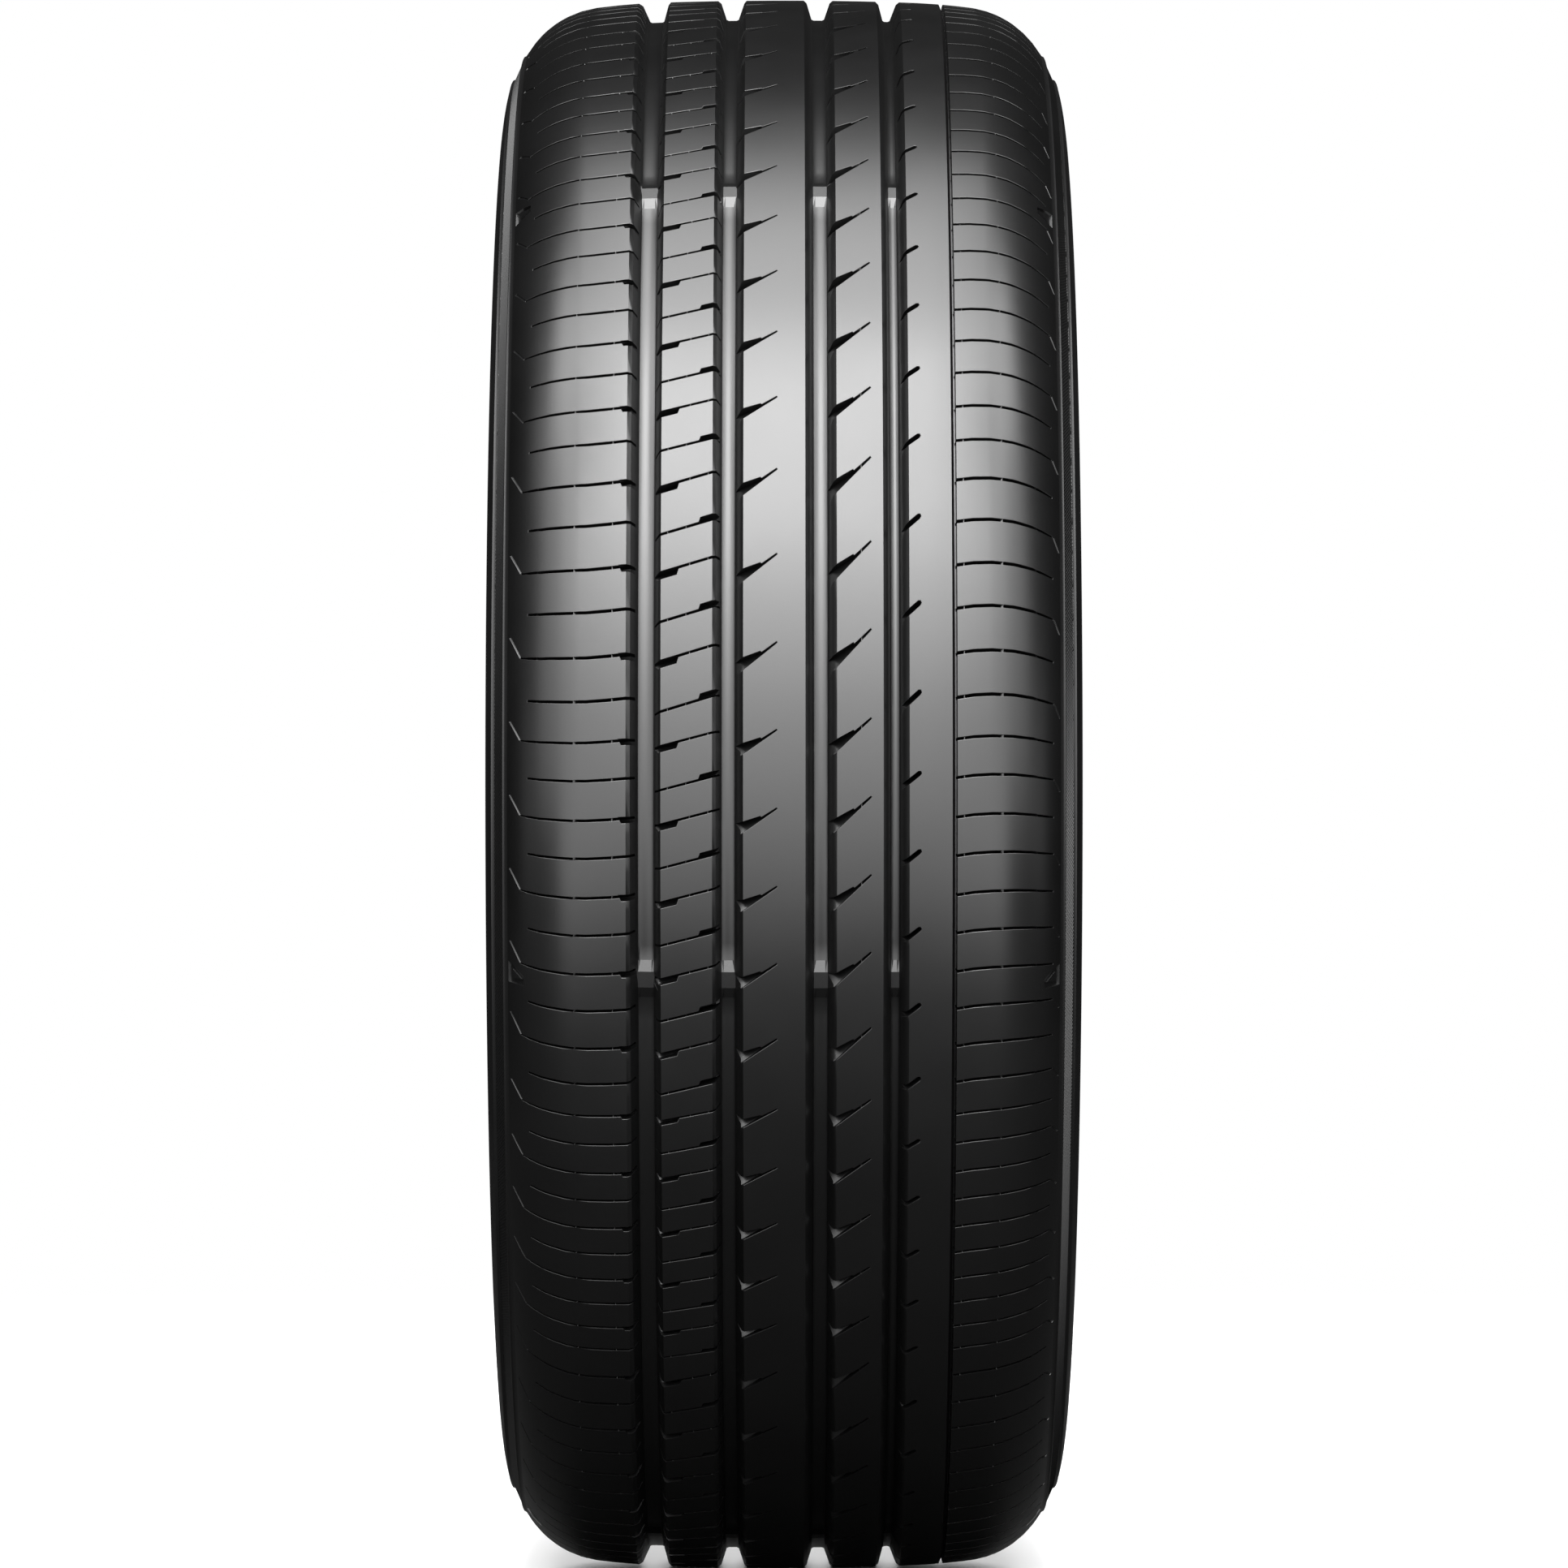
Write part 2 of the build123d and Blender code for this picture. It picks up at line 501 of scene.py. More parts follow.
SHOULDER_CUTS = (
    LONG_LEFT_SIPE, LEFT_LINE, LEFT_SIPE, LEFT_NOTCH,
    replace(RIGHT_SIPE, place=RIGHT_UPPER), RIGHT_SIPE, RIGHT_LINE,
)
RIB_SIPE = Sipe(
    path=((-47.85, 0.9), (-23.8, 0.9)), widths=(0.85, 0.85), depth=6.0,
    place=LEFT_SLOPE, ties=(-34.9, -28.1),
)
RIB_CUTS = (
    RIB_SIPE,
    Notch(
        outline=((-47.85, -1.33), (-39.6, -1.33), (-38.6, 1.33), (-47.85, 1.33)),
        depth=2.4, tilt=(-0.26, 1.1), place=LEFT_SLOPE,
    ),
    replace(RIB_SIPE, path=((-47.85, -0.75), (-23.8, -0.75)), place=RIGHT_SLOPE, ties=(-43.0, -36.2)),
    Notch(
        outline=((-31.9, -1.18), (-23.8, -1.18), (-23.8, 1.18), (-30.9, 1.18)),
        depth=3.0, tilt=(-0.26, 1.0), place=RIGHT_SLOPE,
    ),
    Notch(
        outline=(
            (-18.1, -4.2), (-2.95, 6.4), (-2.45, 6.85), (-2.75, 7.25),
            (-8.3, 3.75), (-8.8, 4.12), (-18.1, 1.13),
        ),
        depth=0.5, tilt=(-0.5, 0.93),
    ),
    Notch(
        outline=(
            (16.2, -3.82), (31.9, 11.05), (32.35, 11.6), (31.95, 12.0),
            (25.95, 6.95), (25.5, 7.37), (16.2, 2.21),
        ),
        depth=0.5, tilt=(-0.66, 0.86), place=Place(0.016), ties=(Tie(28.6),),
    ),
    Notch(
        outline=((43.5, -3.29), (50.2, 1.95), (50.75, 2.85), (50.35, 3.65), (49.5, 3.6), (43.5, -1.09)),
        depth=1.2, tilt=(-0.7, 1.55), place=Place(0.41),
    ),
)


@dataclass
class TreadPattern:
    """The tread: its grooves and cuts in plan, and the order of its pitches round the tyre.

    Args:
        pitch_letters: The pitches' lengths by first letter, downwards from the first pitch.
        first_mouth_angle: Where the first pitch's notch opens into the first groove.
        share_above_mouth: How much of a pitch lies above its mouth.
        border: Corners of a pitch's top border as (across, along).
        layout: The cuts of one pitch, from left to right.
        slit: Corners, as (across, depth), of the slope and the thin cut beside the right shoulder.
        land_lines: Where lines run along the ribs, so that their faces follow the crown.
        bar_margin: How far from a pitch's borders a wear bar's lines have to lie.
    """

    crown: Crown = field(default_factory=Crown)
    bars: WearBars = field(default_factory=WearBars)
    pitch_letters: str = (
        "mmmmmlllmmmmmsssss" "llllmmsss" "lllmmmssss" "llllmmsss" "lllmmssss" "lllmmmssss" "llmm"
    )
    first_mouth_angle: float = 46.69
    share_above_mouth: float = 0.46
    border: Points = (
        (-42.0, 12.2), (-36.0, 13.2), (20.0, 13.2), (25.0, 14.05),
        (33.0, 14.05), (40.0, 13.2), (70.0, 13.2), (90.0, 12.2),
    )
    columns: int = 2
    grooves: tuple[Groove, ...] = (
        Groove(edges=(-58.35, -45.5), tops=(-56.85, -46.4), floor=(-54.4, -48.3)),
        Groove(edges=(-26.5, -15.07), tops=(-25.2, -15.97), floor=(-23.3, -18.2)),
        Groove(edges=(7.9, 19.55), tops=(9.1, 18.35), floor=(11.0, 16.3)),
        Groove(edges=(36.7, 46.3), tops=(37.9, 45.1), floor=(39.7, 42.9)),
    )
    layout: tuple[Sipe | Notch, ...] = SHOULDER_CUTS + RIB_CUTS
    slit: Points = ((62.1, 0.0), (63.15, 1.9), (63.35, 3.4), (63.85, 3.4), (63.98, 0.0))
    marks: tuple[WearMark, ...] = (WearMark(-1.0, (-12.2, -0.5)), WearMark(1.0, (-7.2, -2.1)))
    land_lines: tuple[float, ...] = (
        -99.8, -96.3, -92.0, -87.0, -81.5, -75.5, -66.0, -36.0, -4.0, 28.0, 54.0,
        69.0, 75.5, 81.5, 87.0, 92.0, 96.3, 99.8,
    )
    bar_margin: float = 1.2

    def __post_init__(self) -> None:
        """Works out the pitches and the cuts."""
        sizes = {"s": PitchSize.SHORT, "m": PitchSize.MEDIUM, "l": PitchSize.LONG}
        self.pitches: list[PitchSize] = [sizes[letter] for letter in self.pitch_letters]
        self.medium_angle: float = 360.0 / sum(pitch.value for pitch in self.pitches)
        self.medium_length: float = math.radians(self.medium_angle) * self.crown.top_radius
        self.cuts: list[Cut] = [shape.cut(self.medium_length) for shape in self.layout]
        self.plans: dict[tuple, tuple[np.ndarray, np.ndarray]] = {}
        spans = [self.medium_angle * pitch.value for pitch in self.pitches]
        first_top = self.first_mouth_angle + self.share_above_mouth * spans[0]
        tops = first_top - np.concatenate([[-spans[-1], 0.0], np.cumsum(spans + spans[:1])])
        self.pitch_tops: np.ndarray = tops[::-1]
        self.pitch_counts: np.ndarray = (self.share_above_mouth - np.arange(-1, len(spans) + 2))[::-1]

    def angle_at(self, pitch: int, share: np.ndarray) -> np.ndarray:
        """Finds the angles of shares of a pitch above its mouth, which may reach into its neighbours."""
        return np.interp(share - pitch, self.pitch_counts, self.pitch_tops)

    def along_at(self, pitch: int, angle: float) -> float:
        """Finds how far above a pitch's mouth an angle lies along the tread, for a medium pitch.

        Args:
            pitch: The pitch's number.
            angle: An angle round the axle.

        Returns:
            The distance, by the shorter way round the tyre.
        """
        top = self.pitch_tops[-2]
        turned = top - (top - angle) % 360.0
        shares = [
            float(np.interp(turned + whole, self.pitch_tops, self.pitch_counts)) + pitch
            for whole in (-360.0, 0.0, 360.0)
        ]
        return min(shares, key=abs) * self.medium_length

    def plan_stations(self) -> list[Point]:
        """Lists the lines that run along the tread as (across, depth), from left to right.

        Returns:
            The corners of the slit, the ribs and the grooves.
        """
        edge = self.crown.half_width
        stations = [*self.slit, *((across, 0.0) for across in (-edge, *self.land_lines, edge))]
        for groove in self.grooves:
            stations += groove.stations()
        return sorted(stations)

    def plan(
        self, bar_lines: tuple[float, ...], marks: tuple[tuple[Cut, Cut], ...]
    ) -> tuple[np.ndarray, np.ndarray]:
        """Lays out one pitch flat and splits it into triangles.

        Args:
            bar_lines: Where the feet and the tops of wear bars end, along the tread.
            marks: The wear marks' recesses and triangles.

        Returns:
            The plan's points as (across, along) rows and its triangles as rows of point numbers.
        """
        if (bar_lines, marks) in self.plans:
            return self.plans[bar_lines, marks]
        points: list[Point] = []
        edges: list[tuple[int, int]] = []

        def add_line(corners: Sequence[Point], closed: bool = False) -> None:
            """Adds a chain of breaklines to the plan.

            Args:
                corners: The chain's points.
                closed: Whether the last point is joined to the first.
            """
            first = len(points)
            points.extend(corners)
            edges.extend((first + step, first + step + 1) for step in range(len(corners) - 1))
            if closed:
                edges.append((first + len(corners) - 1, first))

        lines = sorted({across for across, _ in (*self.plan_stations(), *self.border)})
        tops = self.border_at(np.array(lines))
        steps = self.medium_length * (np.arange(self.columns + 1) / self.columns - 1.0)
        for across, top in zip(lines, tops):
            add_line([(across, top + step) for step in steps])
        for down in (0.0, self.medium_length):
            add_line([(across, top - down) for across, top in zip(lines, tops)])
        for cut in (*self.cuts, *(cut for mark in marks for cut in mark)):
            for ring in cut.rings():
                add_line(ring, closed=True)
            for line in cut.tie_lines():
                add_line(line)
        for along in bar_lines:
            for groove in self.grooves:
                add_line([(groove.tops[0], along), (groove.tops[1], along)])
        places = [Vector(point) for point in points]
        flat = delaunay_2d_cdt(places, edges, [], TRIANGLES_INSIDE, PLAN_TOLERANCE)
        self.plans[bar_lines, marks] = np.array([tuple(point) for point in flat[0]]), np.array(flat[2])
        return self.plans[bar_lines, marks]

    def border_at(self, across: np.ndarray | float) -> np.ndarray | float:
        """Finds the top border of a pitch, which winds between the cuts."""
        return np.interp(across, [here for here, _ in self.border], [along for _, along in self.border])

    def from_bar(self, angles: np.ndarray) -> np.ndarray:
        """Measures the length round the crown from each angle to the middle of the nearest wear bar."""
        away = [np.abs((angles - bar + 180.0) % 360.0 - 180.0) for bar in self.bars.angles()]
        return np.radians(np.min(away, axis=0)) * self.crown.top_radius

    def bar_floor(self, angles: np.ndarray) -> np.ndarray:
        """Finds the greatest depth that the wear bars leave in a groove at each angle.

        Args:
            angles: Angles round the axle.

        Returns:
            The depth at each angle.
        """
        foot, top = self.bars.foot_length, self.bars.top_length
        ramp = (foot / 2 - self.from_bar(angles)) / ((foot - top) / 2)
        return self.grooves[0].depth - self.bars.height * np.clip(ramp, 0.0, 1.0)

    def near_bar(self, angles: np.ndarray) -> np.ndarray:
        """Tells which angles lie on a wear bar, its feet included."""
        return self.from_bar(angles) < self.bars.foot_length / 2 + BAR_MARGIN

    def column_angles(self) -> np.ndarray:
        """Lists the angles of the mesh's columns, upwards, without repeating the first.

        Returns:
            The angles at which the tread's edge has its points.
        """
        top = self.border_at(self.crown.half_width) / self.medium_length
        shares = top - np.arange(1, self.columns + 1) / self.columns
        angles = [self.angle_at(pitch, shares) for pitch in range(len(self.pitches))]
        return np.sort(np.concatenate(angles))

    def bar_lines(self, pitch: int) -> tuple[float, ...]:
        """Lists where the feet and the tops of wear bars end in a pitch, along the tread.

        Args:
            pitch: The pitch's number.

        Returns:
            The places in order, none of them close to the pitch's borders.
        """
        highest = self.border_at(0.0) - self.bar_margin
        lowest = self.border_at(0.0) - self.medium_length + self.bar_margin
        lengths = (self.bars.foot_length, self.bars.top_length)
        halves = [math.degrees(length / 2 / self.crown.top_radius) for length in lengths]
        ends = [bar + turn for bar in self.bars.angles() for half in halves for turn in (-half, half)]
        places = [self.along_at(pitch, angle) for angle in ends]
        return tuple(sorted(round(along, 6) for along in places if lowest < along < highest))

    def marks_in(self, pitch: int) -> tuple[tuple[Cut, Cut], ...]:
        """Lists the wear marks of the wear bars that a pitch holds.

        Args:
            pitch: The pitch's number.

        Returns:
            A recess and a triangle for each shoulder and bar.
        """
        highest = self.border_at(self.crown.half_width)
        places = [self.along_at(pitch, bar) for bar in self.bars.angles()]
        inside = [along for along in places if highest - self.medium_length < along <= highest]
        return tuple(mark.cuts(along) for along in inside for mark in self.marks)

    def build(self) -> tuple[np.ndarray, np.ndarray]:
        """Wraps every pitch round the crown.

        Returns:
            The tread's points in millimetres and its triangles as rows of point numbers.
        """
        stations = np.array(self.plan_stations())
        slit_start, slit_end = self.slit[0][0], self.slit[-1][0]
        all_points, all_triangles, count = [], [], 0
        for pitch in range(len(self.pitches)):
            marks = self.marks_in(pitch)
            plan, triangles = self.plan(self.bar_lines(pitch), marks)
            across, along = plan[:, 0], plan[:, 1]
            angles = self.angle_at(pitch, along / self.medium_length)
            depth = np.interp(across, stations[:, 0], stations[:, 1])
            in_slit = (across > slit_start) & (across < slit_end)
            depth = np.where(in_slit, depth, np.minimum(depth, self.bar_floor(angles)))
            for cut in self.cuts:
                depth = np.maximum(depth, cut.depth_at(plan))
            for recess, triangle in marks:
                depth = np.maximum(depth, recess.depth_at(plan) - triangle.depth_at(plan))
            radius, slope = self.crown.at(across)
            sunk = radius - depth * np.cos(slope)
            all_points.append(wrapped(angles, across - depth * np.sin(slope), sunk))
            all_triangles.append(triangles + count)
            count += len(plan)
        return np.concatenate(all_points), np.concatenate(all_triangles)


@dataclass(frozen=True)
class Ring:
    """One ring of points about the axle, by angle, distance across the tyre and distance from the axle."""

    angles: np.ndarray
    across: np.ndarray
    radius: np.ndarray

    @classmethod
    def plain(cls, angles: np.ndarray, corner: Point) -> "Ring":
        """Turns one corner of a section through the given angles."""
        return cls(angles, np.full_like(angles, corner[0]), np.full_like(angles, corner[1]))

    def points(self) -> np.ndarray:
        """Lists the points as rows of x, y and z."""
        return wrapped(self.angles, self.across, self.radius)

    def ordered(self) -> tuple[np.ndarray, np.ndarray]:
        """Sorts the points by angle.

        Returns:
            The points' numbers in order, and their angles with the first one a whole turn on.
        """
        turns = self.angles % 360.0
        order = np.argsort(turns)
        return order, np.append(turns[order], turns[order[0]] + 360.0)

    def joined_to(self, after: "Ring") -> list[tuple[int, ...]]:
        """Joins this ring to the next one, in quads where they match and else in triangles.

        Args:
            after: The next ring, whose points are numbered on from this one's.

        Returns:
            The faces as point numbers, from 0 at this ring's first point.
        """
        here, there = len(self.angles), len(after.angles)
        if here == there:
            steps = [(step, (step + 1) % here) for step in range(here)]
            return [(step, here + step, here + following, following) for step, following in steps]
        order, turns = self.ordered()
        after_order, after_turns = after.ordered()
        faces, step, after_step = [], 0, 0
        while step < here or after_step < there:
            first, second = order[step % here], here + after_order[after_step % there]
            ahead = step < here and (after_step == there or turns[step + 1] <= after_turns[after_step + 1])
            step, after_step = (step + 1, after_step) if ahead else (step, after_step + 1)
            third = order[step % here] if ahead else here + after_order[after_step % there]
            faces.append((int(first), int(second), int(third)))
        return faces


@dataclass
class Carcass:
    """The tyre's sidewalls, beads and inner liner, turned about the axle.

    A band of fine slanted ridges runs round each side, from the rib at the tread's edge to a lower rib.

    Args:
        edge_rib: Corners of the rib at the tread's edge as (across, radius), as in the other parts.
        ridge_height: How far the crests stand out of the band's face.
        ridge_sink: How far the valleys lie below it.
        ridge_steep_share: How much of a ridge its steep flank takes up.
        ridge_inset: How far from the band's ends the ridges start and end.
        ridge_run_round: How far a ridge runs round the tyre on its way down the band.
        widest: Where the sidewall is widest.
        bulge_ends: The radii between which the sidewall is an arc.
    """

    crown: Crown = field(default_factory=Crown)
    columns: int = 144
    edge_rib: Points = (
        (103.5, 295.1), (103.85, 294.8), (104.4, 294.6), (104.6, 294.15), (104.35, 293.65), (104.4, 293.2),
    )
    band_end: Point = (107.75, 285.7)
    ridges: int = 1240
    ridge_height: float = 0.13
    ridge_sink: float = 0.07
    ridge_steep_share: float = 0.15
    ridge_inset: float = 0.25
    ridge_run_round: float = 8.0
    lower_rib: Points = ((108.15, 285.4), (108.95, 285.15), (109.25, 284.6), (109.2, 283.9))
    widest: Point = (111.7, 267.0)
    bulge_radius: float = 62.6
    bulge_ends: Point = (283.0, 258.0)
    bulge_rings: int = 9
    lower_wall: Points = (
        (109.6, 251.5), (106.6, 245.0), (102.2, 239.6), (97.6, 235.6), (95.5, 232.6),
    )
    bead: Points = (
        (95.25, 229.5), (94.9, 223.0), (94.2, 220.2), (92.9, 218.7),
        (91.4, 218.3), (78.4, 218.3), (77.4, 218.9),
    )
    liner: Points = (
        (78.3, 223.0), (82.0, 231.5), (88.5, 241.5), (95.8, 251.5), (101.2, 260.0),
        (103.7, 267.5), (103.0, 275.5), (99.8, 283.8), (94.4, 291.5), (87.4, 297.6),
        (79.5, 301.1), (70.0, 302.15), (35.0, 302.15), (0.0, 302.15),
    )

    @property
    def turns(self) -> np.ndarray:
        """The angles of a plain ring's points."""
        return np.arange(self.columns) * 360.0 / self.columns

    def outer_wall(self) -> list[Point]:
        """Draws the section from the band's lower end to the bead's toe, as (across, radius).

        Returns:
            The section's corners in order.
        """
        centre = self.widest[0] - self.bulge_radius
        bulge = []
        for radius in np.linspace(*self.bulge_ends, self.bulge_rings):
            drop = float(radius) - self.widest[1]
            bulge.append((centre + math.sqrt(self.bulge_radius**2 - drop**2), float(radius)))
        return [self.band_end, *self.lower_rib, *bulge, *self.lower_wall, *self.bead]

    def ridge_rings(self, side: float) -> list[Ring]:
        """Makes the two ends of a side's fine ridges.

        Args:
            side: 1 for the right side, -1 for the left one.

        Returns:
            The rings at the tread's end and at the lower end, with ridges and valleys by turns.
        """
        start, end = np.array(self.edge_rib[-1]), np.array(self.band_end)
        length = float(np.linalg.norm(end - start))
        run = (end - start) / length
        lift = np.tile([-self.ridge_sink, self.ridge_height], self.ridges)
        crest = 0.5 + side * (0.5 - self.ridge_steep_share)
        angles = (np.arange(self.ridges)[:, None] + np.array([0.0, crest])).ravel() * 360.0 / self.ridges
        travel = side * math.degrees(self.ridge_run_round / float(start[1]))
        rings = []
        for distance, turn in ((self.ridge_inset, 0.0), (length - self.ridge_inset, travel)):
            across, radius = start + run * distance
            rings.append(Ring(angles + turn, side * (across - lift * run[1]), radius + lift * run[0]))
        return rings

    def side_rings(self, side: float, tread_angles: np.ndarray) -> list[Ring]:
        """Lists one side's rings from the shoulder's foot to the bead's toe.

        Args:
            side: 1 for the right side, -1 for the left one.
            tread_angles: The angles of the points at the tread's edge, upwards.

        Returns:
            The rings in order.
        """
        edge = self.crown.half_width
        foot = float(self.crown.at(np.array([edge]))[0][0])
        section = ((edge, foot), *self.edge_rib)
        upper = [Ring.plain(tread_angles, (side * across, radius)) for across, radius in section]
        lower = [Ring.plain(self.turns, (side * across, radius)) for across, radius in self.outer_wall()]
        return upper + self.ridge_rings(side) + lower

    def build(self, tread_angles: np.ndarray) -> tuple[np.ndarray, list[tuple[int, ...]], np.ndarray]:
        """Turns the section about the axle.

        Args:
            tread_angles: The angles of the points at the tread's edge, upwards.

        Returns:
            The points in millimetres, the faces as point numbers, and each face's zone.
        """
        mirrored = [(-across, radius) for across, radius in self.liner[-2::-1]]
        liner = [Ring.plain(self.turns, corner) for corner in (*self.liner, *mirrored)]
        right, left = self.side_rings(1.0, tread_angles), self.side_rings(-1.0, tread_angles)[::-1]
        rings = right + liner + left
        faces: list[tuple[int, ...]] = []
        zones: list[int] = []
        start = 0
        for number, (ring, after) in enumerate(zip(rings, rings[1:])):
            joined = ring.joined_to(after)
            in_liner = len(right) - 1 <= number < len(right) + len(liner)
            faces += [tuple(start + point for point in face) for face in joined]
            zones += [Zone.LINER.value if in_liner else Zone.SIDEWALL.value] * len(joined)
            start += len(ring.angles)
        return np.concatenate([ring.points() for ring in rings]), faces, np.array(zones)


class NodeTree:
    """A small helper that adds and links nodes in a node tree."""

    def __init__(self, tree: bpy.types.NodeTree) -> None:
        """Keeps the tree and clears it."""
        self.tree = tree
        self.tree.nodes.clear()

    def put(self, target: bpy.types.NodeSocket, value: object) -> None:
        """Links a socket to an input, or sets the input to a plain value.

        Args:
            target: The input.
            value: An output socket, or the input's value.
        """
        if isinstance(value, bpy.types.NodeSocket):
            self.tree.links.new(value, target)
        else:
            target.default_value = value

    def add(self, kind: str, **values: object) -> bpy.types.Node:
        """Adds a node.

        Args:
            kind: The node's type name.
            values: The node's properties and inputs, the inputs by name with underscores for spaces.

        Returns:
            The new node.
        """
        node = self.tree.nodes.new(kind)
        for name, value in values.items():
            if hasattr(node, name):
                setattr(node, name, value)
            else:
                self.put(node.inputs[name.replace("_", " ")], value)
        return node

    def fill(self, node: bpy.types.Node, *values: object) -> bpy.types.NodeSocket:
        """Puts values into a node's inputs in order.

        Args:
            node: The node.
            values: Sockets or plain values.

        Returns:
            The node's first output.
        """
        for target, value in zip(node.inputs, values):
            self.put(target, value)
        return node.outputs[0]

    def math(self, operation: str, *values: object) -> bpy.types.NodeSocket:
        """Adds a math node on sockets or numbers, and returns its output."""
        return self.fill(self.add("ShaderNodeMath", operation=operation), *values)


class MouldGrain:
    """The fine grain that a mould leaves on rubber, as a node group that every rubber uses."""

    NAME = "mould_grain"
    FINE_SHARE = 0.45
    MIX_FIRST, MIX_SECOND, MIX_RESULT = 6, 7, 2

    @classmethod
    def group(cls) -> bpy.types.NodeTree:
        """Makes the group, if it isn't there yet.

        Returns:
            The group, with the grain's colour, roughness and height as outputs.
        """
        made = bpy.data.node_groups.get(cls.NAME)
        if made:
            return made
        tree = bpy.data.node_groups.new(cls.NAME, "ShaderNodeTree")
        number, colour = "NodeSocketFloat", "NodeSocketColor"
        inputs = {"Grain Size": number, "Dark": colour, "Pale": colour, "Smooth": number, "Rough": number}
        outputs = {"Colour": colour, "Roughness": number, "Height": number}
        for way, sockets in (("INPUT", inputs), ("OUTPUT", outputs)):
            for name, kind in sockets.items():
                tree.interface.new_socket(name, in_out=way, socket_type=kind)
        nodes = NodeTree(tree)
        given = nodes.add("NodeGroupInput").outputs
        place = nodes.add("ShaderNodeTexCoord").outputs["Object"]
        scale = nodes.math("DIVIDE", 1.0 / MM, given["Grain Size"])
        fine_noise = nodes.add("ShaderNodeTexNoise", Vector=place, Scale=scale, Detail=4.0, Roughness=0.6)
        broad_noise = nodes.add("ShaderNodeTexNoise", Vector=place, Scale=22.0, Detail=5.0, Roughness=0.55)
        fine, broad = fine_noise.outputs["Fac"], broad_noise.outputs["Fac"]
        fine_part = nodes.math("MULTIPLY", fine, cls.FINE_SHARE)
        broad_part = nodes.math("MULTIPLY", broad, 1.0 - cls.FINE_SHARE)
        blend = nodes.math("ADD", fine_part, broad_part)
        spread = nodes.add("ShaderNodeMapRange", Value=blend, From_Min=0.3, From_Max=0.7)
        tone = nodes.add("ShaderNodeMix", data_type="RGBA", Factor=spread.outputs["Result"])
        nodes.put(tone.inputs[cls.MIX_FIRST], given["Dark"])
        nodes.put(tone.inputs[cls.MIX_SECOND], given["Pale"])
        rough = nodes.add("ShaderNodeMapRange", Value=broad, To_Min=given["Smooth"], To_Max=given["Rough"])
        nodes.add(
            "NodeGroupOutput",
            Colour=tone.outputs[cls.MIX_RESULT],
            Roughness=rough.outputs["Result"],
            Height=fine,
        )
        return tree


@dataclass(frozen=True)
class Rubber:
    """A moulded black rubber.

    Args:
        name: The material's name.
        dark: The darker tone of the rubber.
        pale: The paler tone, where the surface is dusty or scuffed.
        smooth: The lowest roughness.
        rough: The highest roughness.
        grain_size: The size of the grain, in millimetres.
        grain_relief: The height of the grain, in millimetres.
        ior: The refractive index, which sets how strongly the surface shines.
        tints: How much bluer than grey the two tones are.
    """

    name: str
    dark: float
    pale: float
    smooth: float
    rough: float
    grain_size: float
    grain_relief: float
    ior: float
    tints: Point = (1.04, 1.02)

    def material(self) -> bpy.types.Material:
        """Makes the material from nodes.

        Returns:
            The new material.
        """
        material = bpy.data.materials.new(self.name)
        material.use_nodes = True
        nodes = NodeTree(material.node_tree)
        grain = nodes.add(
            "ShaderNodeGroup",
            node_tree=MouldGrain.group(),
            Dark=(self.dark, self.dark, self.dark * self.tints[0], 1.0),
            Pale=(self.pale, self.pale, self.pale * self.tints[1], 1.0),
            Smooth=self.smooth,
            Rough=self.rough,
            Grain_Size=self.grain_size,
        ).outputs
        relief = self.grain_relief * MM
        bump = nodes.add("ShaderNodeBump", Height=grain["Height"], Strength=1.0, Distance=relief)
        surface = nodes.add(
            "ShaderNodeBsdfPrincipled",
            Base_Color=grain["Colour"],
            Roughness=grain["Roughness"],
            IOR=self.ior,
            Normal=bump.outputs["Normal"],
        )
        nodes.add("ShaderNodeOutputMaterial", Surface=surface.outputs["BSDF"])
        return material


TREAD_RUBBER = Rubber(
    "tread_rubber", dark=0.001, pale=0.0024, smooth=0.3, rough=0.37,
    grain_size=0.8, grain_relief=0.012, ior=1.65,
)
SIDEWALL_RUBBER = Rubber(
    "sidewall_rubber", dark=0.0015, pale=0.0035, smooth=0.36, rough=0.44,
    grain_size=0.6, grain_relief=0.01, ior=1.6,
)
LINER_RUBBER = Rubber(
    "liner_rubber", dark=0.008, pale=0.016, smooth=0.5, rough=0.66,
    grain_size=2.2, grain_relief=0.06, ior=1.5,
)


def read_all(items: bpy.types.bpy_prop_collection, name: str, kind: type, width: int = 1) -> np.ndarray:
    """Reads one property of all points, corners or faces of a mesh, some numbers wide.

    Args:
        items: The mesh's points, corners or faces.
        name: The property's name.
        kind: The numbers' type.
        width: How many numbers the property has.

    Returns:
        The numbers, with a row for each item where the property is wide.
    """
    values = np.empty(len(items) * width, dtype=kind)
    items.foreach_get(name, values)
    return values.reshape(-1, width) if width > 1 else values


